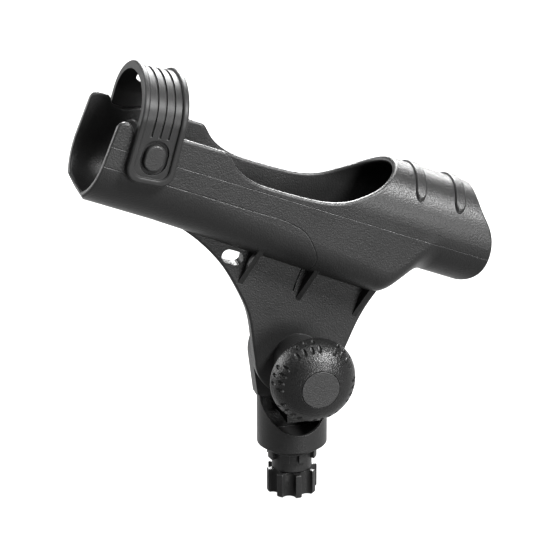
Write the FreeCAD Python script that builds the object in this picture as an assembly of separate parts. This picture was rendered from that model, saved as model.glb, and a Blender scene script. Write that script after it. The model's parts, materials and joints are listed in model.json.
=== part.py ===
"""Tilting rod holder for a star-socket deck mount.

A moulded cradle with a closed butt ring stands on a web plate.  The web's hub turns on a toothed
ear of the base about a bolt that runs along Y, and a threaded knob clamps it.  A strap arches
over the open end of the cradle and swings on two snap studs.

Frame: origin on the spigot axis at the seat under the base, +Z up, +X towards the butt ring,
-Y towards the knob.  Millimetres.  The teeth are drawn just out of mesh, one knob turn short of
clamped.
"""
import FreeCAD, Part
import os
from math import acos, atan2, cos, hypot, pi, radians, sin, sqrt

from FreeCAD import Placement, Rotation, Vector

# ---- base ----
PIVOT_Z = 61.0            # height of the tilt axis above the seat
BASE_R = 21.3             # outside radius of the base cup
CUP_WALL = 2.4
CHAMFER_RADIAL = 4.4      # bottom corner of the cup
CHAMFER_AXIAL = 3.0
EAR_R = 24.4              # round head of the ear, about the tilt axis
EAR_FACE_Y = 0.7
EAR_BACK_Y = 13.0
POCKET_TOP = -27.6        # heights below are relative to the tilt axis
CUT_CENTRE = -25.6
CUT_R = 21.0
BLOCK_HALF = 6.2
BLOCK_FRONT_Y = -11.0
BLOCK_BOTTOM = -42.0
COLLAR_R = 15.5
COLLAR_H = 6.7
COLLAR_BAND = 1.3         # full round at the collar's top; notched into blocks below it
COLLAR_FLOOR_R = 12.4
COLLAR_BLOCK_R = 15.2
BLOCK_PHASE_DEG = -78.0   # first block of the collar, from +X
RING_R, RING_END_Z = 12.2, -13.8
NECK_R = 10.0
NECK_H = 1.1              # groove for the port's latch
LOBE_R = 15.5
SPIGOT_H = 15.3
LOBES = 8
POCKET_R = 4.2            # scallops between the lobes
POCKET_AT = 15.0
SPIGOT_BORE_R = 7.0

# ---- toothed joint ----
TEETH = 24                # 15 degree steps
TOOTH_H = 1.2
TOOTH_IN = 11.5
TOOTH_OUT = 21.0
TOOTH_GAP_DEG = 0.3       # each side of a tooth foot
HUB_FACE_Y = -0.7

# ---- bolt, spring, washer, knob ----
BOLT_R = 3.95             # M8
RUNNING = 0.06            # radial clearance of a running fit
HEAD_AF = 13.0
HEAD_H = 5.3
BOLT_END_Y = -54.0
SPRING_R = 6.6            # mean coil radius
SPRING_WIRE = 1.0
SPRING_TURNS = 3.5
SPRING_POCKET_R = 8.2
SPRING_POCKET = 3.0
SLEEVE_R = 6.0
WASHER_R = 12.0
WASHER_T = 1.6
BOSS_R = 15.0
BOSS_END_Y = -40.0
KNOB_R = 25.9
KNOB_HUB_R = 10.5
KNOB_FOOT_Y = BOSS_END_Y - WASHER_T - 0.04
INSERT_Y = -44.0
CAP_R = 11.3
CAP_Y = -58.95
CAP_GAP = 0.35            # open ring round the cap
CAP_GAP_DEEP = 0.9
DIMPLE_GROUPS = 6
DIMPLES = 4
DIMPLE_PITCH_DEG = 11.8
DIMPLE_START_DEG = -16.0

# ---- cradle, in its own axes: a along the rod (down towards the ring), u square to it ----
TILT_DEG = 22.3
CRADLE_X = -95.0          # where a = u = 0 lies, relative to the tilt axis
CRADLE_Z = 130.2
TUBE_R = 29.2
BORE_R = 25.5
RING_U = 17.3             # height of the ring's centre over the channel's centre
RING_STRAIGHT = 0.1       # the ring is this much out of round
ROUND_HALF = 0.05         # the channel's bottom is this nearly a full round at the front
ROUND_END = 20.0
BELLY_HALF = 10.7         # half width of the flat along the deepest part of the belly
BELLY_DROP = -12.8        # and the height of the centres of its corner rounds
FRONT_A = -27.1           # front end at mid width
FRONT_SKEW = 0.0685       # it is cut this much out of square: the far wall is the longer
TAB_U = 26.6              # top of the front tabs
TAB_CORNER = 5.0
LOFT_START = 160.0
LOFT_END = 191.0
ENDS_A = 224.0
RIM_ROUND = 1.3
CREASE_W, CREASE_DEEP = 0.65, 0.35    # lower edge of the front shell
LINE_W, LINE_DEEP = 0.35, 0.18        # mould line along each side
LINE_U = 11.0
RIB_H = 1.5
RIB_HALF = 3.4
RIB_AS = (165.5, 192.0)
RIB_SPAN_DEG = 60.0       # from the crown down each side
PLATE_Y = (-9.0, HUB_FACE_Y)
HUB_R = 25.2
GUSSET_AS = (86.0, 124.0, 162.0)
GUSSET_T = 3.2
GUSSET_REACH = 18.0
GUSSET_FOOT_U = -50.0
SLOT_A, SLOT_U = 75.4, -36.2
SLOT_LENGTH, SLOT_WIDTH = 13.4, 8.4

# ---- strap ----
STUD_A, STUD_U = 0.0, 12.8
STUD_R = 4.0
STRAP_IN = TUBE_R + 0.4   # inner half width
STRAP_T = 5.0
STRAP_FIELD = 1.7         # depth of the field between the edge beads
STRAP_BEAD = 3.8
STRAP_LEAN = 6.0
STRAP_FOOT = -15.8        # below the stud
STRAP_SHOULDER = 19.0     # where the arch springs from, above the stud
STRAP_FLAT = 0.72         # height of the arch over its half width
LEG_HALF, CROWN_HALF = 14.0, 13.2
GROOVE_PITCH = 5.0
GROOVE_W, GROOVE_DEEP = 1.4, 1.1
GROOVE_START = 11.5       # above the stud
BUTTON = (12.0, 15.6)
BUTTON_PROUD = 0.3
RECESS = (16.0, 20.4)
RECESS_DEEP = 3.3
TETHER_R, TETHER_U = 4.8, 31.4

TINY = 0.01
CRADLE = Placement(Vector(CRADLE_X, 0, PIVOT_Z + CRADLE_Z), Rotation(Vector(0, 1, 0), TILT_DEG))


# ---- helpers ----
def rod(radius, y0, y1, x=0.0, z=PIVOT_Z):
    """A cylinder along Y."""
    return Part.makeCylinder(radius, abs(y1 - y0), Vector(x, min(y0, y1), z), Vector(0, 1, 0))


def drum(radius, z0, z1):
    """A cylinder along Z on the spigot axis."""
    return Part.makeCylinder(radius, z1 - z0, Vector(0, 0, z0))


def box(x0, x1, y0, y1, z0, z1):
    return Part.makeBox(x1 - x0, y1 - y0, z1 - z0, Vector(x0, y0, z0))


def face_of(edges):
    return Part.Face(Part.Wire(Part.__sortEdges__(edges)))


def line(p, q):
    return Part.LineSegment(p, q).toShape()


def curve(points):
    spline = Part.BSplineCurve()
    spline.interpolate(points)
    return spline.toShape()


def slab(outline, y0, y1):
    """Extrude a closed list of edges, drawn in a plane of constant Y, from y0 to y1."""
    face = face_of(outline)
    face.translate(Vector(0, y0, 0))
    return face.extrude(Vector(0, y1 - y0, 0))


def at(a, u, y=0.0):
    return Vector(a, y, u)


def fillet(shape, radius, wanted):
    """Round the edges whose box passes the test; smaller radii are tried if one is too large."""
    edges = [e for e in shape.Edges if e.Length > 0.05 and wanted(e)]
    for scale in (1.0, 0.75, 0.5):
        try:
            rounded = shape.makeFillet(radius * scale, edges)
        except (Part.OCCError, ValueError):
            continue
        if rounded.isValid() and len(rounded.Solids) == 1:
            return rounded
    print("fillet left off:", radius, "on", len(edges), "edges")
    return shape


def revolve_y(points):
    """Revolve an open profile of (radius, y) points, closed on the bolt's axis."""
    corners = [Vector(r, y, 0) for r, y in points]
    ends = [Vector(0, points[-1][1], 0), Vector(0, points[0][1], 0)]
    wire = Part.makePolygon(corners + [p for p in ends if p not in corners] + [corners[0]])
    solid = Part.Face(wire).revolve(Vector(0, 0, 0), Vector(0, 1, 0), 360)
    solid.translate(Vector(0, 0, PIVOT_Z))
    return solid


def tooth_ring(root_y, crest_y, phase_deg):
    """Radial wedge teeth about the tilt axis, from their feet at root_y to the crests."""
    half = pi / TEETH - radians(TOOTH_GAP_DEG)
    foot_y = root_y + (0.3 if root_y > crest_y else -0.3)
    teeth = []
    for k in range(TEETH):
        mid = radians(phase_deg) + 2 * pi * k / TEETH
        sections = []
        for r in (TOOTH_IN, TOOTH_OUT):
            corners = [
                Vector(r * cos(mid - half), foot_y, r * sin(mid - half)),
                Vector(r * cos(mid - half), root_y, r * sin(mid - half)),
                Vector(r * cos(half) * cos(mid), crest_y, r * cos(half) * sin(mid)),
                Vector(r * cos(mid + half), root_y, r * sin(mid + half)),
                Vector(r * cos(mid + half), foot_y, r * sin(mid + half)),
            ]
            sections.append(Part.makePolygon(corners + corners[:1]))
        tooth = Part.makeLoft(sections, True, True)
        tooth.translate(Vector(0, 0, PIVOT_Z))
        teeth.append(tooth)
    return teeth


# ---- base ----
def spigot():
    """Notched collar, plain ring, latch groove and the lobed star below it."""
    star_z = RING_END_Z - NECK_H
    collar = drum(COLLAR_R, -COLLAR_H, 1.0)
    pitch = 360 / LOBES
    notches = drum(COLLAR_R + 1, -COLLAR_H - 1, -COLLAR_BAND).cut(drum(COLLAR_FLOOR_R, -COLLAR_H - 1, 0))
    core = drum(COLLAR_BLOCK_R, -COLLAR_H - 2, 0)
    for k in range(LOBES):
        block = core.common(box(0, 2 * COLLAR_R, 0, 2 * COLLAR_R, -COLLAR_H - 2, 0))
        edge = box(0, 2 * COLLAR_R, 0, 2 * COLLAR_R, -COLLAR_H - 2, 0)
        edge.rotate(Vector(), Vector(0, 0, 1), pitch / 2)
        block = block.cut(edge)
        block.rotate(Vector(), Vector(0, 0, 1), BLOCK_PHASE_DEG + k * pitch - pitch / 4)
        notches = notches.cut(block)
    part = collar.cut(notches).fuse([drum(RING_R, RING_END_Z, -COLLAR_H + TINY),
                                     drum(NECK_R, star_z - 1, RING_END_Z + TINY)])
    star = drum(LOBE_R, star_z - SPIGOT_H, star_z)
    star = star.makeChamfer(1.0, [e for e in star.Edges if e.BoundBox.ZMax < star_z - SPIGOT_H + TINY])
    star = fillet(star, 0.6, lambda e: e.BoundBox.ZMin > star_z - TINY)
    for k in range(LOBES):
        angle = 2 * pi * (k + 0.5) / LOBES
        pocket = drum(POCKET_R, star_z - SPIGOT_H - 1, star_z + 1)
        pocket.translate(Vector(POCKET_AT * cos(angle), POCKET_AT * sin(angle), 0))
        star = star.cut(pocket)
    return part.fuse(star).cut(drum(SPIGOT_BORE_R, star_z - SPIGOT_H - 1, star_z - 3.0))


def ear():
    """Round head with sides that run tangent down to the full width of the cup."""
    foot_x = BASE_R - 0.2
    tangent = atan2(POCKET_TOP, foot_x) + acos(EAR_R / hypot(foot_x, POCKET_TOP))
    side_x, side_z = EAR_R * cos(tangent), EAR_R * sin(tangent)
    corners = [Vector(x, 0, PIVOT_Z + z) for x, z in
               ((side_x, side_z), (0, EAR_R), (-side_x, side_z), (-foot_x, POCKET_TOP), (foot_x, POCKET_TOP))]
    outline = [Part.Arc(*corners[:3]).toShape(), line(corners[2], corners[3]), line(corners[3], corners[4]),
               line(corners[4], corners[0])]
    shape = slab(outline, EAR_FACE_Y, EAR_BACK_Y)
    return fillet(shape, 1.0, lambda e: e.BoundBox.YMin > EAR_BACK_Y - TINY and e.BoundBox.ZMax > PIVOT_Z - 20)


def base_body():
    top = PIVOT_Z + POCKET_TOP + 2.0
    cup = drum(BASE_R, 0, top)
    cup = cup.makeChamfer(CHAMFER_AXIAL, CHAMFER_RADIAL, [e for e in cup.Edges if e.BoundBox.ZMax < TINY])
    hollow = drum(BASE_R - CUP_WALL, 6.5, PIVOT_Z + POCKET_TOP)
    hollow = hollow.cut(box(-30, 30, EAR_FACE_Y + 10.3, 30, 0, 60))
    cup = cup.cut(hollow)
    block = box(-BLOCK_HALF, BLOCK_HALF, BLOCK_FRONT_Y, EAR_BACK_Y, PIVOT_Z + BLOCK_BOTTOM,
                PIVOT_Z + POCKET_TOP - 1.0)
    scoop = rod(CUT_R, -40, EAR_FACE_Y - TINY, z=PIVOT_Z + CUT_CENTRE)
    open_top = box(-40, 40, -40, EAR_FACE_Y - TINY, PIVOT_Z + CUT_CENTRE, PIVOT_Z + 60)
    cup = cup.cut([scoop, open_top])
    cup = fillet(cup, 0.8, lambda e: e.BoundBox.XLength > 5 and e.BoundBox.ZMin > PIVOT_Z + CUT_CENTRE - CUT_R - 1
                 and e.BoundBox.ZMax < PIVOT_Z - 34)
    body = cup.fuse([ear(), block, spigot()])
    body = body.cut(rod(TOOTH_OUT + 0.6, EAR_FACE_Y - 1, EAR_FACE_Y + TOOTH_H)
                    .cut(rod(TOOTH_IN - 0.6, EAR_FACE_Y - 1, EAR_FACE_Y + TOOTH_H)))
    body = body.fuse(tooth_ring(EAR_FACE_Y + TOOTH_H, EAR_FACE_Y, 0.0))
    body = body.cut(rod(BOLT_R + 0.05, -5, 30))
    body = body.cut(rod(SPRING_POCKET_R, -5, EAR_FACE_Y + SPRING_POCKET))
    return body.cut(hexagon(HEAD_AF + 0.1, EAR_BACK_Y - HEAD_H - 0.7, EAR_BACK_Y + 5)).removeSplitter()


def hexagon(across_flats, y0, y1):
    radius = across_flats / sqrt(3)
    corners = [Vector(radius * cos(k * pi / 3), y0, PIVOT_Z + radius * sin(k * pi / 3)) for k in range(7)]
    return Part.Face(Part.makePolygon(corners)).extrude(Vector(0, y1 - y0, 0))


def pivot_bolt():
    head_y = EAR_BACK_Y - HEAD_H - 0.7
    head = hexagon(HEAD_AF, head_y, head_y + HEAD_H)
    head = head.common(revolve_y([(0, head_y), (8.2, head_y), (8.2, head_y + 4.4), (6.4, head_y + HEAD_H),
                                  (0, head_y + HEAD_H)]))
    shank = rod(BOLT_R, BOLT_END_Y, head_y)
    shank = shank.makeChamfer(0.8, [e for e in shank.Edges if e.BoundBox.YMax < BOLT_END_Y + TINY])
    return head.fuse(shank).removeSplitter()


def release_spring():
    """A short compression spring round the bolt that parts the teeth: half turns, the end ones flat."""
    length = 2 * SPRING_POCKET + EAR_FACE_Y - HUB_FACE_Y - 2 * TINY
    halves = int(2 * SPRING_TURNS)
    step = (length - SPRING_WIRE) / (halves - 2)
    y = HUB_FACE_Y - SPRING_POCKET + TINY + SPRING_WIRE / 2
    pieces = []
    for k in range(halves):
        rise = 0.0 if k in (0, halves - 1) else step
        x = SPRING_R if k % 2 == 0 else -SPRING_R
        wire = Part.Face(Part.Wire(Part.makeCircle(SPRING_WIRE / 2, Vector(x, y, 0), Vector(0, 0, 1))))
        axis = Vector(rise if x > 0 else -rise, 2 * SPRING_R, 0)
        pieces.append(wire.revolve(Vector(0, y + rise / 2, 0), axis, 180))
        y += rise
    coil = pieces[0].fuse(pieces[1:])
    coil.translate(Vector(0, 0, PIVOT_Z))
    return coil


# ---- cradle ----
def section(a, low_u, high_u, radius, half):
    """A closed upright: corner rounds joined by a flat below, straight sides, a half round on top."""
    corner = radius - half
    slant = corner * cos(pi / 4)
    left, right = at(a, low_u, -radius), at(a, low_u, radius)
    foot_left, foot_right = at(a, low_u - corner, -half), at(a, low_u - corner, half)
    top_left, top_right = at(a, high_u, -radius), at(a, high_u, radius)
    return Part.Wire([
        Part.Arc(left, at(a, low_u - slant, -half - slant), foot_left).toShape(),
        line(foot_left, foot_right),
        Part.Arc(foot_right, at(a, low_u - slant, half + slant), right).toShape(),
        line(right, top_right),
        Part.Arc(top_right, at(a, high_u + radius), top_left).toShape(),
        line(top_left, left),
    ])


def belly(a):
    """Height of the corner rounds' centres, and half width of the flat between them."""
    if a < LOFT_START:
        t = min(max((a - ROUND_END) / (LOFT_START - ROUND_END), 0.0), 1.0)
        return BELLY_DROP * t, ROUND_HALF + (BELLY_HALF - ROUND_HALF) * t
    t = min((a - LOFT_START) / (LOFT_END - LOFT_START), 1.0)
    ease = t * t * t * (t * (6 * t - 15) + 10)
    low_u = BELLY_DROP + (RING_U - RING_STRAIGHT - BELLY_DROP) * ease
    return low_u, BELLY_HALF + (ROUND_HALF - BELLY_HALF) * ease


def body_of(radius, start, end):
    """The channel, the deepening belly and the ring as one solid of the given radius."""
    def cut(a, high_u):
        low_u, half = belly(a)
        return section(a, low_u, high_u, radius, half)

    split = 70.0
    steps = 8
    rise = [cut(LOFT_START + (LOFT_END - LOFT_START) * k / steps, RING_U) for k in range(steps + 1)]
    front = Part.Face(cut(start, 60.0)).extrude(Vector(ROUND_END - start, 0, 0))
    channel = Part.makeLoft([cut(ROUND_END, 60.0), cut(split, 60.0)], True, True)
    middle = Part.makeLoft([cut(split, RING_U), cut(LOFT_START, RING_U)], True, True)
    ring = Part.Face(cut(LOFT_END, RING_U)).extrude(Vector(end - LOFT_END, 0, 0))
    return front.fuse([channel, middle, Part.makeLoft(rise, True, False), ring])


def opening_cutter():
    """Everything above the rim: front tab, strap seat, hump and the reel scoop."""
    top, front = 110.0, FRONT_A - 10
    tab, seat, hump = TAB_U, 22.0, 26.9
    edges = [
        line(at(front, tab), at(-19.5, tab)),
        curve([at(-19.5, tab), at(-17.8, 25.9), at(-16.2, 24.1), at(-14.8, 22.4), at(-13.0, seat)]),
        line(at(-13.0, seat), at(-8.0, seat)),
        curve([at(-8.0, seat), at(-4.0, 23.0), at(4.0, 26.1), at(8.0, hump)]),
        line(at(8.0, hump), at(40.0, hump)),
        curve([at(40.0, hump), at(42.4, 26.3), at(45.2, 24.1), at(49.6, 20.3), at(56.0, 17.0), at(64.0, 14.9),
               at(78.0, 14.2), at(92.0, 14.5), at(105.0, 15.4), at(114.5, 17.1), at(123.4, 20.6),
               at(132.4, 26.5), at(139.4, 32.1), at(145.0, 38.1), at(149.0, 43.6), at(151.6, 49.5)]),
        line(at(151.6, 49.5), at(152.5, top)),
        line(at(152.5, top), at(front, top)),
        line(at(front, top), at(front, tab)),
    ]
    return slab(edges, -60, 60)


def end_cutter():
    """Everything behind the raked, waved end of the ring."""
    wave = [at(201.0, 56), at(202.6, 46.5), at(204.8, 41.5), at(207.8, 36.5), at(213.4, 30), at(217.8, 22.5),
            at(220.3, 13.5), at(221.2, 4.5), at(219.8, -3.5), at(216.4, -9.5), at(212.5, -14)]
    edges = [curve(wave), line(wave[-1], at(ENDS_A + 20, -14)), line(at(ENDS_A + 20, -14), at(ENDS_A + 20, 56)),
             line(at(ENDS_A + 20, 56), wave[0])]
    return slab(edges, -60, 60)


def front_cutters():
    """The skew front end with its tabs' corners rounded, and the lower corner rounded in side view."""
    reach, far, tab, corner = 60.0, FRONT_A - 15, TAB_U, TAB_CORNER
    bend = corner * (1 - cos(pi / 4))
    end = face_of([
        line(at(FRONT_A, -reach), at(FRONT_A, tab - corner)),
        Part.Arc(at(FRONT_A, tab - corner), at(FRONT_A + bend, tab - bend), at(FRONT_A + corner, tab)).toShape(),
        line(at(FRONT_A + corner, tab), at(FRONT_A + corner, reach)),
        line(at(FRONT_A + corner, reach), at(far, reach)),
        line(at(far, reach), at(far, -reach)),
        line(at(far, -reach), at(FRONT_A, -reach)),
    ])
    end.translate(Vector(FRONT_SKEW * reach, -reach, 0))
    nose = [at(-30.5, -20.0), at(-28.0, -22.4), at(-25.5, -25.2), at(-23.2, -27.5), at(-20.5, -29.3), at(-17.8, -30.6)]
    low = slab([curve(nose), line(nose[-1], at(far, -30.6)), line(at(far, -30.6), at(far, -20)),
                line(at(far, -20), nose[0])], -reach, reach)
    return [end.extrude(Vector(-2 * FRONT_SKEW * reach, 2 * reach, 0)), low]


def groove(points, width, depth):
    """A fine line cut along the outside of the body, through the given (a, u) places."""
    path = [at(a, u) for a, u in points]
    sides = []
    for k, p in enumerate(path):
        before, after = path[max(k - 1, 0)], path[min(k + 1, len(path) - 1)]
        ahead = (after - before).normalize()
        sides.append(Vector(-ahead.z, 0, ahead.x) * (width / 2))
    upper = [p + q for p, q in zip(path, sides)]
    lower = [p - q for p, q in zip(path, sides)]
    strip = slab([curve(upper) if len(path) > 2 else line(*upper), line(upper[-1], lower[-1]),
                  curve(lower) if len(path) > 2 else line(*lower), line(lower[0], upper[0])], -60, 60)
    return strip.cut(body_of(TUBE_R - depth, FRONT_A - 20, ENDS_A + 20))


def shell_lines():
    """The crease round the lower front of the channel, and the mould line along the sides."""
    crease = [(FRONT_A - 5, -1.0), (0.0, -1.0), (50.0, -1.0), (80.0, -1.0), (89.0, -1.1), (94.0, -1.9),
              (101.5, -3.6), (109.0, -8.2), (112.0, -11.2), (117.4, -17.9), (119.0, -28.0), (119.4, -46.0)]
    mould = [(FRONT_A - 5, LINE_U), (ENDS_A + 5, LINE_U)]
    return [groove(crease, CREASE_W, CREASE_DEEP), groove(mould, LINE_W, LINE_DEEP)]


def tube_shell():
    """The open tube with its rims rounded."""
    cutters = [opening_cutter(), end_cutter()] + front_cutters()
    bore = body_of(BORE_R, FRONT_A - 10, ENDS_A + 10)
    shell = body_of(TUBE_R, FRONT_A - 5, ENDS_A).cut([bore] + cutters).removeSplitter()
    skin = body_of(BORE_R + TINY, FRONT_A - 20, ENDS_A + 20)
    for inside in (False, True):
        rim = []
        for edge in shell.Edges:
            bound = edge.BoundBox
            if bound.XLength < TINY and bound.ZLength < TINY:
                continue
            middle = Part.Vertex(edge.valueAt((edge.FirstParameter + edge.LastParameter) / 2))
            on_rim = any(middle.distToShape(c)[0] < TINY for c in cutters)
            if on_rim and skin.isInside(middle.Point, TINY, True) == inside:
                rim.append(edge)
        shell = shell.makeFillet(RIM_ROUND, rim)
    return shell


def crown_rib(a):
    """A raised rib over the crown of the ring with round ends."""
    reach = TUBE_R * sin(radians(RIB_SPAN_DEG)) - RIB_HALF
    foot = [Vector(a + x, y, RING_U + 5) for x, y in
            ((-RIB_HALF, -reach), (0, -reach - RIB_HALF), (RIB_HALF, -reach),
             (RIB_HALF, reach), (0, reach + RIB_HALF), (-RIB_HALF, reach))]
    outline = [Part.Arc(*foot[:3]).toShape(), line(foot[2], foot[3]), Part.Arc(*foot[3:]).toShape(),
               line(foot[5], foot[0])]
    band = face_of(outline).extrude(Vector(0, 0, 60))
    band = band.common(Part.makeCylinder(TUBE_R + RIB_H, 60, at(a - 30, RING_U), Vector(1, 0, 0)))
    band = fillet(band, 1.2, lambda e: e.BoundBox.ZMin > RING_U + 5.5 and e.BoundBox.YLength > 2)
    return band.cut(Part.makeCylinder(TUBE_R - 1.0, 60, at(a - 30, RING_U), Vector(1, 0, 0)))


def gusset(a, side):
    """A thin triangular rib between the web's face and the tube's belly."""
    face_y = PLATE_Y[0] if side < 0 else PLATE_Y[1]
    corners = [at(a, -20, face_y - side), at(a, GUSSET_FOOT_U, face_y - side), at(a, GUSSET_FOOT_U, face_y),
               at(a, -12, face_y + side * GUSSET_REACH), at(a, -20, face_y - side)]
    rib = Part.Face(Part.makePolygon(corners)).extrude(Vector(GUSSET_T, 0, 0))
    rib.translate(Vector(-GUSSET_T / 2, 0, 0))
    return rib


def web():
    """The flat plate from the tube down to the hub, in the base's axes."""
    def p(x, z):
        return Vector(x, 0, PIVOT_Z + z)
    left = curve([p(-HUB_R, 0), p(-26.6, 11), p(-29.8, 32), p(-34.9, 44.6), p(-43.1, 60.2), p(-54.5, 75.2),
                  p(-66.0, 86.2), p(-79.0, 95.2)])
    right = curve([p(63.0, 51.5), p(52.8, 39.4), p(43.8, 27.8), p(38.2, 18.2), p(33.4, 7.8), p(28.8, -2.0),
                   p(HUB_R * cos(radians(-24)), HUB_R * sin(radians(-24)))])
    outline = [left, line(p(-79.0, 95.2), p(63.0, 51.5)), right,
               line(p(HUB_R * cos(radians(-24)), HUB_R * sin(radians(-24))), p(-HUB_R, 0))]
    plate = slab(outline, *PLATE_Y)
    return plate.fuse(rod(HUB_R, *PLATE_Y)).removeSplitter()


def lanyard_slot():
    half = (SLOT_LENGTH - SLOT_WIDTH) / 2
    ends = [Part.makeCylinder(SLOT_WIDTH / 2, 40, at(SLOT_A + s * half, SLOT_U, -20), Vector(0, 1, 0))
            for s in (-1, 1)]
    bar = box(SLOT_A - half, SLOT_A + half, -20, 20, SLOT_U - SLOT_WIDTH / 2, SLOT_U + SLOT_WIDTH / 2)
    return ends[0].fuse([ends[1], bar])


def rod_cradle():
    plate = fillet(web(), 1.4, lambda e: e.BoundBox.YLength < TINY and e.BoundBox.ZMin < PIVOT_Z + 90)
    plate.Placement = CRADLE.inverse().multiply(plate.Placement)
    ribs = [gusset(a, side) for a in GUSSET_AS for side in (-1, 1)]
    below = plate.fuse(ribs).cut([body_of(BORE_R + 1.5, FRONT_A - 10, ENDS_A + 10), opening_cutter()])
    body = tube_shell().fuse([crown_rib(a) for a in RIB_AS] + [below])
    body = body.cut(shell_lines() + [lanyard_slot()])
    for side in (-1, 1):
        body = body.cut(Part.makeCylinder(STUD_R + RUNNING, 20, at(STUD_A, STUD_U, side * 22), Vector(0, side, 0)))
    body = body.removeSplitter()
    body.Placement = CRADLE.multiply(body.Placement)
    boss = rod(BOSS_R, BOSS_END_Y, PLATE_Y[0] + 1)
    boss = fillet(boss, 1.0, lambda e: e.BoundBox.YMax < BOSS_END_Y + TINY)
    body = body.fuse([boss] + tooth_ring(HUB_FACE_Y, HUB_FACE_Y + TOOTH_H, 180.0 / TEETH))
    return body.cut([rod(SLEEVE_R, BOSS_END_Y - 5, 20), rod(SPRING_POCKET_R, HUB_FACE_Y - SPRING_POCKET, 20)])


def hub_sleeve():
    tube = rod(SLEEVE_R, BOSS_END_Y, HUB_FACE_Y - SPRING_POCKET)
    return tube.cut(rod(BOLT_R + RUNNING, BOSS_END_Y - 1, 5))


# ---- knob ----
def knob_profile():
    return [(0, -40.6), (25.0, -40.6), (25.5, -41.0), (KNOB_R, -42.4), (25.5, -44.6), (24.7, -47.4), (23.2, -50.2),
            (21.0, -52.9), (18.1, -55.3), (15.0, -57.1), (CAP_R + CAP_GAP, -58.6), (0, -58.6)]


def dome(points):
    """Revolve the knob's outline with its crown as one smooth curve."""
    flat = [Vector(r, y, 0) for r, y in points]
    crown = curve(flat[2:-1])
    edges = [line(flat[0], flat[1]), line(flat[1], flat[2]), crown, line(flat[-2], flat[-1]), line(flat[-1], flat[0])]
    solid = face_of(edges).revolve(Vector(), Vector(0, 1, 0), 360)
    solid.translate(Vector(0, 0, PIVOT_Z))
    return solid


def dimple(angle_deg, radius, y, size, slope_deg):
    """An oval dent of the given half sizes, laid along the dome's slope at one place of the pattern."""
    shape = FreeCAD.Matrix()
    shape.scale(*size)
    oval = Part.makeSphere(1.0).transformGeometry(shape)
    oval.rotate(Vector(), Vector(1, 0, 0), -slope_deg)
    oval.translate(Vector(0, y, radius))
    oval.rotate(Vector(), Vector(0, 1, 0), 90 - angle_deg)
    oval.translate(Vector(0, 0, PIVOT_Z))
    return oval


def grip_dents():
    """Groups of dents: a long row near the crown and a short row between them nearer the rim."""
    dents = []
    for group in range(DIMPLE_GROUPS):
        first = DIMPLE_START_DEG + group * 360 / DIMPLE_GROUPS - (DIMPLES - 1) / 2 * DIMPLE_PITCH_DEG
        for k in range(DIMPLES):
            dents.append(dimple(first + k * DIMPLE_PITCH_DEG, 22.6, -51.2, (1.35, 1.3, 3.0), 51))
        for k in range(DIMPLES - 1):
            dents.append(dimple(first + (k + 0.5) * DIMPLE_PITCH_DEG, 25.25, -46.0, (1.2, 1.2, 2.2), 73))
    return dents


def knob_shell():
    body = dome(knob_profile())
    inside = revolve_y([(0, -30), (22.9, -30), (22.9, -44), (21.2, -48.6), (17.5, -52.4), (13.0, -54.6), (0, -54.6)])
    hub = rod(KNOB_HUB_R, KNOB_FOOT_Y, -56)
    body = body.cut(inside.cut(hub))
    for k in range(6):
        rib = box(KNOB_HUB_R - 1, 23.5, -53.5, -44.0, -0.9, 0.9)
        rib.rotate(Vector(), Vector(0, 1, 0), 30 + 60 * k)
        rib.translate(Vector(0, 0, PIVOT_Z))
        body = body.fuse(rib.common(dome(knob_profile())))
    body = body.cut(grip_dents())
    body = body.cut([rod(CAP_R + 0.05, -70, -56.2), rod(CAP_R + CAP_GAP, -70, CAP_Y + CAP_GAP_DEEP)])
    body = body.cut(rod(6.5, -70, INSERT_Y))
    return body.cut(rod(BOLT_R + 0.4, -60, -30))


def knob_insert():
    nut = hexagon(11.2, INSERT_Y - 9.0, INSERT_Y).common(rod(6.5, INSERT_Y - 9.0, INSERT_Y))
    return nut.cut(rod(BOLT_R + RUNNING, -60, -30))


def knob_cap():
    disc = rod(CAP_R, CAP_Y, -56.2)
    disc = fillet(disc, 0.25, lambda e: e.BoundBox.YMax < CAP_Y + TINY)
    return disc.cut(rod(9.0, -57.4, -50))


def thrust_washer():
    return rod(WASHER_R, BOSS_END_Y - 0.02 - WASHER_T, BOSS_END_Y - 0.02).cut(rod(BOLT_R + RUNNING, -50, 0))


# ---- strap, drawn about the stud and then leaned forward ----
def arch(outer, half_width):
    """A solid arch of the given outer half width, from the leg ends over the crown."""
    foot, shoulder = STRAP_FOOT, STRAP_SHOULDER
    rise = STRAP_FLAT * (STRAP_IN + STRAP_T) + outer - STRAP_IN - STRAP_T
    bow = Part.Ellipse(at(0, shoulder, outer), at(0, shoulder + rise), at(0, shoulder))
    profile = [
        line(at(0, foot, -outer), at(0, shoulder, -outer)),
        Part.ArcOfEllipse(bow, 0, pi).toShape(),
        line(at(0, shoulder, outer), at(0, foot, outer)),
        line(at(0, foot, outer), at(0, foot, -outer)),
    ]
    face = face_of(profile)
    face.translate(Vector(-half_width, 0, 0))
    return face.extrude(Vector(2 * half_width, 0, 0))


def strap_outline(inset):
    """Side view of the strap: round feet, and a little narrower at the crown."""
    foot, crown = STRAP_FOOT + inset, STRAP_SHOULDER + STRAP_FLAT * (STRAP_IN + STRAP_T) + 1
    leg, top = LEG_HALF - inset, CROWN_HALF - inset
    r = 8.0 - inset / 2
    corner = r * (1 - cos(pi / 4))
    return [
        line(at(-leg + r, foot), at(leg - r, foot)),
        Part.Arc(at(leg - r, foot), at(leg - corner, foot + corner), at(leg, foot + r)).toShape(),
        line(at(leg, foot + r), at(top, crown)),
        line(at(top, crown), at(-top, crown)),
        line(at(-top, crown), at(-leg, foot + r)),
        Part.Arc(at(-leg, foot + r), at(-leg + corner, foot + corner), at(-leg + r, foot)).toShape(),
    ]


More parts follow.
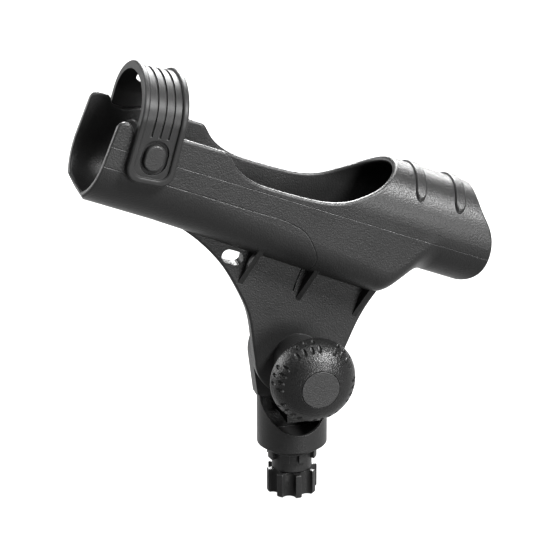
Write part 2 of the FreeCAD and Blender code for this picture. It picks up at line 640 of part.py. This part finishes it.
def obround(size, y0, y1):
    """An upright oval slug between two planes of Y, centred on the stud."""
    half_w = size[0] / 2
    reach = size[1] / 2 - half_w
    outline = [
        line(at(-half_w, -reach), at(-half_w, reach)),
        Part.Arc(at(-half_w, reach), at(0, reach + half_w), at(half_w, reach)).toShape(),
        line(at(half_w, reach), at(half_w, -reach)),
        Part.Arc(at(half_w, -reach), at(0, -reach - half_w), at(-half_w, -reach)).toShape(),
    ]
    return slab(outline, y0, y1)


def strap():
    outer = STRAP_IN + STRAP_T
    full = arch(outer, LEG_HALF).common(slab(strap_outline(0), -60, 60))
    full = fillet(full, 1.3, lambda e: e.BoundBox.ZMax > STRAP_FOOT + 0.5 and max(abs(e.BoundBox.YMin),
                  abs(e.BoundBox.YMax)) > outer - 0.3 and e.BoundBox.ZLength > 2)
    field = arch(outer + 5, LEG_HALF).cut(arch(outer - STRAP_FIELD, LEG_HALF + 1))
    field = field.common(slab(strap_outline(STRAP_BEAD), -60, 60))
    body = full.cut(field)
    skin = arch(outer, LEG_HALF + 1).Shells[0]

    def field_edge(edge):
        """On the strap's face, inside the beads."""
        middle = edge.valueAt((edge.FirstParameter + edge.LastParameter) / 2)
        on_face = Part.Vertex(middle).distToShape(skin)[0] < TINY
        return on_face and abs(middle.x) < LEG_HALF - STRAP_BEAD + 1 and middle.z > STRAP_FOOT + STRAP_BEAD - 1

    body = fillet(body, 1.2, field_edge).cut(arch(STRAP_IN, LEG_HALF + 1))
    body = body.cut(box(-20, 20, -STRAP_IN, STRAP_IN, STRAP_FOOT - 1, STRAP_SHOULDER))
    ring = arch(outer + 5, GROOVE_W / 2).cut(arch(outer - STRAP_FIELD - GROOVE_DEEP, LEG_HALF + 1))
    ring = ring.common(box(-20, 20, -60, 60, GROOVE_START, 100))
    for k in (-1, 0, 1):
        groove = ring.copy()
        groove.translate(Vector(k * GROOVE_PITCH, 0, 0))
        body = body.cut(groove)
    for side in (-1, 1):
        body = body.cut(obround(RECESS, side * (outer - RECESS_DEEP), side * (outer + 4)))
        body = body.cut(Part.makeCylinder(STUD_R + 0.02, 20, at(0, 0, side * 25), Vector(0, side, 0)))
    tether = Part.makeCylinder(TETHER_R, 60, at(0, TETHER_U, 0), Vector(0, 1, 0))
    return body.cut(tether)


def strap_stud(side):
    """Oval button, round shank through the cradle wall and a barbed end inside it."""
    outer = STRAP_IN + STRAP_T
    seat, top = outer - RECESS_DEEP + TINY, outer + BUTTON_PROUD
    head = obround(BUTTON, side * seat, side * top)
    head = fillet(head, 1.2, lambda e: abs(e.BoundBox.YMax - side * top) < TINY and e.BoundBox.YLength < TINY)
    inner = BORE_R - 1.5
    shank = Part.makeCylinder(STUD_R, seat - inner + TINY, at(0, 0, side * inner), Vector(0, side, 0))
    barb = Part.makeCone(STUD_R - 0.6, STUD_R + 0.7, 1.2, at(0, 0, side * inner), Vector(0, side, 0))
    return head.fuse([shank, barb]).removeSplitter()


def on_stud(shape):
    """Lean a strap piece forward about the stud and put it on the cradle."""
    shape.rotate(Vector(), Vector(0, 1, 0), -STRAP_LEAN)
    shape.translate(at(STUD_A, STUD_U))
    shape.Placement = CRADLE.multiply(shape.Placement)
    return shape


def main():
    os.makedirs("parts", exist_ok=True)
    nodes = {
        "base_body": base_body(),
        "pivot_bolt": pivot_bolt(),
        "release_spring": release_spring(),
        "rod_cradle": rod_cradle(),
        "hub_sleeve": hub_sleeve(),
        "thrust_washer": thrust_washer(),
        "knob_shell": knob_shell(),
        "knob_insert": knob_insert(),
        "knob_cap": knob_cap(),
        "strap": on_stud(strap()),
        "strap_stud_near": on_stud(strap_stud(-1)),
        "strap_stud_far": on_stud(strap_stud(1)),
    }
    for name, shape in nodes.items():
        bound = shape.BoundBox
        print(f"{name:16s} valid={shape.isValid()} solids={len(shape.Solids)} volume={shape.Volume / 1000:8.2f} cm3 "
              f"z {bound.ZMin:7.1f} to {bound.ZMax:6.1f}")
        shape.exportStep(f"parts/{name}.step")


main()
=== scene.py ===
"""Looks, light and camera for the tilting rod holder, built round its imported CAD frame.

The mouldings keep their CAD shapes.  Every node gets a procedural finish: moulded nylon with a
spark-eroded grain, satin elastomer for the strap, stainless steel, spring wire and brass.
Metres, in the row frame: origin on the spigot axis at the seat, +Z up, -Y towards the knob.
"""
import json
from math import cos, radians, sin

import bpy
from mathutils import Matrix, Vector


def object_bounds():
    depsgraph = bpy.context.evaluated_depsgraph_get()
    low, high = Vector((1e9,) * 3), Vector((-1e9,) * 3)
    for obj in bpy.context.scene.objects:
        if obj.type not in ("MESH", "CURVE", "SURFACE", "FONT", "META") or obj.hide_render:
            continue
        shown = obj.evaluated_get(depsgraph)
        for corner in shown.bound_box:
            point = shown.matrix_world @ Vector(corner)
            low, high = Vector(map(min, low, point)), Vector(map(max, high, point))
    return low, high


# ---- camera ----
CAMERA_AZIMUTH_DEG = -16.3     # from the -Y side, towards -X
CAMERA_ELEVATION_DEG = 21.8
CAMERA_DISTANCE = 1.5
CAMERA_AIM = (-0.00296, 0.01765, 0.10128)
CAMERA_CLIP = (0.05, 50.0)
LENS_MM = 161.3
SENSOR_MM = 36.0

# ---- studio ----
FLOOR_GAP = 0.0005
FLOOR_HALF = 6.0
FLOOR_GREYS = (0.020, 0.025)
FLOOR_GLOW = 0.64              # the table's own light, from under the paper
BACKDROP_GREY = 0.92
BACKDROP_LEVEL = 0.04
EXPOSURE, GAMMA = 0.70, 0.85

# Sun lamps: name, compass bearing and height in degrees, strength, spread in degrees.
# Bearing 0 is the -Y side and 90 the +X side.
LAMPS = (
    ("key", 44.0, 42.0, 12.5, 16.0),
    ("overhead", 4.0, 72.0, 3.4, 40.0),
    ("front", 16.0, 5.0, 5.4, 24.0),
    ("back", 158.0, 32.0, 9.0, 40.0),
    ("back_fill", 236.0, 14.0, 6.0, 50.0),
)

# ---- finishes ----
# Moulded nylon, by material slot: grey level, roughness, depth of grain in metres, scale of grain.
NYLONS = {
    "base_nylon": (0.006, 0.38, 0.00014, 1300.0),
    "cradle_nylon": (0.007, 0.37, 0.00014, 1200.0),
    "knob_nylon": (0.0040, 0.31, 0.00024, 1100.0),
    "cap_nylon": (0.010, 0.42, 0.00018, 1200.0),
    "stud_nylon": (0.008, 0.38, 0.00012, 1300.0),
}
# Metals, by material slot: colour, roughness, scale of lines, stretch of lines along each axis.
METALS = {
    "stainless": ((0.60, 0.60, 0.61), 0.28, 900.0, (1.0, 8.0, 1.0)),
    "spring_steel": ((0.50, 0.50, 0.51), 0.32, 1400.0, (1.0, 5.0, 1.0)),
    "brass": ((0.72, 0.53, 0.25), 0.30, 900.0, (1.0, 6.0, 1.0)),
}
NYLON_SPECULAR = 0.12          # low, because the grain dulls it
STRAP_SPECULAR = 0.07
MOULDED_EDGE = 0.0004          # radius of moulded edges, metres
METAL_EDGE = 0.0002

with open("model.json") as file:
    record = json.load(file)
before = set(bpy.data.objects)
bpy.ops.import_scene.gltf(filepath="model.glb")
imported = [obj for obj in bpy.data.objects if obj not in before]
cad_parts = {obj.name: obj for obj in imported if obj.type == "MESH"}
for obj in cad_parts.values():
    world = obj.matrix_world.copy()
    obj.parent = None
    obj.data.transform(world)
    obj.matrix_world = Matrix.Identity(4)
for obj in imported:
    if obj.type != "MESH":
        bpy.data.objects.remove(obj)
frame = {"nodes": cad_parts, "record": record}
cad_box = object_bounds()
nodes = frame["nodes"]


# ---- node helpers ----
class Tree:
    """A material's node tree with short ways to add and join nodes."""

    def __init__(self, name):
        self.material = bpy.data.materials.new(name)
        self.material.use_nodes = True
        self.nodes = self.material.node_tree.nodes
        self.links = self.material.node_tree.links
        self.shader = self.nodes["Principled BSDF"]
        coordinates = self.nodes.new("ShaderNodeTexCoord")
        self.place = coordinates.outputs["Object"]

    def link(self, value, socket):
        """Join an output to a socket, or set the socket to a plain number or colour."""
        if isinstance(value, bpy.types.NodeSocket):
            self.links.new(value, socket)
        else:
            socket.default_value = value

    def noise(self, scale, detail=2.0, roughness=0.5, place=None):
        node = self.nodes.new("ShaderNodeTexNoise")
        node.inputs["Scale"].default_value = scale
        node.inputs["Detail"].default_value = detail
        node.inputs["Roughness"].default_value = roughness
        self.link(place or self.place, node.inputs["Vector"])
        return node.outputs["Fac"]

    def cells(self, scale):
        node = self.nodes.new("ShaderNodeTexVoronoi")
        node.inputs["Scale"].default_value = scale
        self.link(self.place, node.inputs["Vector"])
        return node.outputs["Distance"]

    def math(self, operation, a, b=0.0, clamp=False):
        node = self.nodes.new("ShaderNodeMath")
        node.operation = operation
        node.use_clamp = clamp
        self.link(a, node.inputs[0])
        self.link(b, node.inputs[1])
        return node.outputs[0]

    def remap(self, value, low, high, to_low, to_high):
        node = self.nodes.new("ShaderNodeMapRange")
        for socket, setting in zip(node.inputs[:5], (value, low, high, to_low, to_high)):
            self.link(setting, socket)
        return node.outputs[0]

    def mix(self, amount, a, b):
        node = self.nodes.new("ShaderNodeMix")
        node.data_type = "RGBA"
        self.link(amount, node.inputs["Factor"])
        self.link(a, node.inputs[6])
        self.link(b, node.inputs[7])
        return node.outputs[2]

    def stretched(self, scale):
        node = self.nodes.new("ShaderNodeMapping")
        node.inputs["Scale"].default_value = scale
        self.link(self.place, node.inputs["Vector"])
        return node.outputs[0]

    def bump(self, height, distance, normal):
        node = self.nodes.new("ShaderNodeBump")
        node.inputs["Strength"].default_value = 1.0
        node.inputs["Distance"].default_value = distance
        self.link(height, node.inputs["Height"])
        self.link(normal, node.inputs["Normal"])
        return node.outputs[0]

    def rounded(self, radius):
        """Normals rounded over sharp edges, and how near an edge each point is, 0 to 1."""
        bevel = self.nodes.new("ShaderNodeBevel")
        bevel.samples = 6
        bevel.inputs["Radius"].default_value = radius
        geometry = self.nodes.new("ShaderNodeNewGeometry")
        dot = self.nodes.new("ShaderNodeVectorMath")
        dot.operation = "DOT_PRODUCT"
        self.link(bevel.outputs[0], dot.inputs[0])
        self.link(geometry.outputs["Normal"], dot.inputs[1])
        return bevel.outputs[0], self.remap(dot.outputs["Value"], 0.995, 0.88, 0.0, 1.0)

    def set(self, **values):
        for name, value in values.items():
            self.link(value, self.shader.inputs[name.replace("_", " ")])


def grey(level):
    return (level, level, level, 1.0)


# ---- materials ----
def moulded(name, level, rough, grain, grain_scale):
    """Black moulded plastic: eroded grain, slight mottle, a painted highlight along the edges, and
    smoother edges.
    """
    tree = Tree(name)
    normal, edge = tree.rounded(MOULDED_EDGE)
    mottle = tree.noise(38.0, 3.0)
    fine = tree.noise(grain_scale, 3.0, 0.6)
    pits = tree.cells(grain_scale * 0.8)
    # Painted highlight mask: nearness to an edge, broken up by noise; the same mask also lowers the
    # roughness there.
    highlight_breakup = tree.remap(tree.noise(160.0, 4.0), 0.35, 0.75, 0.15, 1.0)
    edge_highlight = tree.math("MULTIPLY", edge, highlight_breakup, clamp=True)
    body = tree.mix(mottle, grey(level * 0.82), grey(level * 1.18))
    body = tree.mix(tree.remap(fine, 0.3, 0.7, 0.0, 0.5), body, grey(level * 1.7))
    # Painted highlight: the colour is lightened towards a pale grey along convex edges.
    colour = tree.mix(tree.math("MULTIPLY", edge_highlight, 0.6), body, grey(level * 7.0))
    roughness = tree.remap(mottle, 0.3, 0.7, rough - 0.04, rough + 0.05)
    roughness = tree.math("ADD", roughness, tree.remap(fine, 0.3, 0.7, -0.05, 0.05))
    roughness = tree.math("SUBTRACT", roughness, tree.math("MULTIPLY", edge_highlight, 0.1), clamp=True)
    height = tree.math("ADD", fine, tree.math("MULTIPLY", pits, 0.6))
    tree.set(Base_Color=colour, Roughness=roughness, Normal=tree.bump(height, grain, normal),
             IOR=1.53, Specular_IOR_Level=NYLON_SPECULAR)
    return tree.material


def elastomer(name):
    """The strap: smooth satin elastomer with faint flow marks and a painted highlight along the edges.
    """
    tree = Tree(name)
    normal, edge = tree.rounded(MOULDED_EDGE)
    flow = tree.noise(60.0, 4.0, 0.55, tree.stretched((1.0, 0.35, 1.0)))
    fine = tree.noise(1500.0, 2.0)
    colour = tree.mix(flow, grey(0.0075), grey(0.0115))
    # Painted highlight: the colour is lightened towards a pale grey along the edges.
    colour = tree.mix(tree.math("MULTIPLY", edge, 0.5), colour, grey(0.045))
    roughness = tree.math("ADD", tree.remap(flow, 0.3, 0.7, 0.38, 0.48),
                          tree.remap(fine, 0.3, 0.7, -0.03, 0.03))
    height = tree.math("ADD", fine, tree.math("MULTIPLY", flow, 2.0))
    tree.set(Base_Color=colour, Roughness=roughness, Normal=tree.bump(height, 0.00003, normal),
             IOR=1.5, Specular_IOR_Level=STRAP_SPECULAR)
    return tree.material


def turned_metal(name, colour, rough, lines, brush):
    """Turned, ground or drawn metal: fine lines one way and duller patches."""
    tree = Tree(name)
    normal = tree.rounded(METAL_EDGE)[0]
    strokes = tree.noise(lines, 3.0, 0.6, tree.stretched(brush))
    patches = tree.noise(220.0, 3.0)
    dull = tuple(0.72 * c for c in colour)
    base = tree.mix(tree.remap(patches, 0.35, 0.65, 0.0, 0.6), colour + (1.0,), dull + (1.0,))
    roughness = tree.math("ADD", tree.remap(strokes, 0.3, 0.7, rough - 0.07, rough + 0.08),
                          tree.math("MULTIPLY", patches, 0.08), clamp=True)
    tree.set(Base_Color=base, Roughness=roughness, Metallic=1.0,
             Normal=tree.bump(strokes, 0.000015, normal))
    return tree.material


def make_finishes():
    finishes = {name: moulded(name, *values) for name, values in NYLONS.items()}
    finishes["strap_elastomer"] = elastomer("strap_elastomer")
    finishes.update({name: turned_metal(name, *values) for name, values in METALS.items()})
    return finishes


def dress(finishes):
    """Give every CAD node the finish of its own material slot in the record."""
    slots = [m["slot"] for m in frame["record"]["materials"]]
    for node in nodes.values():
        for index, old in enumerate(node.data.materials):
            wanted = [s for s in slots if old and old.name.startswith(s)]
            node.data.materials[index] = finishes[wanted[0]]


# ---- studio ----
def make_floor(z):
    mesh = bpy.data.meshes.new("floor")
    corners = [(-FLOOR_HALF, -FLOOR_HALF, z), (FLOOR_HALF, -FLOOR_HALF, z), (FLOOR_HALF, FLOOR_HALF, z),
               (-FLOOR_HALF, FLOOR_HALF, z)]
    mesh.from_pydata(corners, [], [(0, 1, 2, 3)])
    floor = bpy.data.objects.new("floor", mesh)
    bpy.context.scene.collection.objects.link(floor)
    tree = Tree("floor_paper")
    tone = tree.mix(tree.noise(3.0), *map(grey, FLOOR_GREYS))
    tree.set(Base_Color=tone, Roughness=0.9, Emission_Color=grey(1.0), Emission_Strength=FLOOR_GLOW)
    mesh.materials.append(tree.material)


def add_lamp(name, azimuth_deg, elevation_deg, strength, spread_deg):
    """A sun lamp whose light comes from a compass bearing and a height."""
    azimuth, elevation = radians(azimuth_deg), radians(elevation_deg)
    towards = Vector((sin(azimuth) * cos(elevation), -cos(azimuth) * cos(elevation), sin(elevation)))
    data = bpy.data.lights.new(name, "SUN")
    data.energy = strength
    data.angle = radians(spread_deg)
    light = bpy.data.objects.new(name, data)
    light.location = towards
    light.rotation_mode = "QUATERNION"
    light.rotation_quaternion = towards.to_track_quat("Z", "Y")
    bpy.context.scene.collection.objects.link(light)


def light_studio():
    world = bpy.data.worlds.new("studio")
    world.use_nodes = True
    background = world.node_tree.nodes["Background"]
    background.inputs["Color"].default_value = grey(BACKDROP_GREY)
    background.inputs["Strength"].default_value = BACKDROP_LEVEL
    bpy.context.scene.world = world
    for lamp in LAMPS:
        add_lamp(*lamp)
    view = bpy.context.scene.view_settings
    view.view_transform = "Standard"
    view.exposure, view.gamma = EXPOSURE, GAMMA


def place_camera():
    azimuth, elevation = radians(CAMERA_AZIMUTH_DEG), radians(CAMERA_ELEVATION_DEG)
    back = Vector((sin(azimuth) * cos(elevation), -cos(azimuth) * cos(elevation), sin(elevation)))
    data = bpy.data.cameras.new("camera")
    data.lens = LENS_MM
    data.sensor_width = SENSOR_MM
    data.clip_start, data.clip_end = CAMERA_CLIP
    camera = bpy.data.objects.new("camera", data)
    camera.location = Vector(CAMERA_AIM) + back * CAMERA_DISTANCE
    camera.rotation_mode = "QUATERNION"
    camera.rotation_quaternion = (-back).to_track_quat("-Z", "Y")
    bpy.context.scene.collection.objects.link(camera)
    bpy.context.scene.camera = camera


dress(make_finishes())
make_floor(cad_box[0].z - FLOOR_GAP)
light_studio()
place_camera()
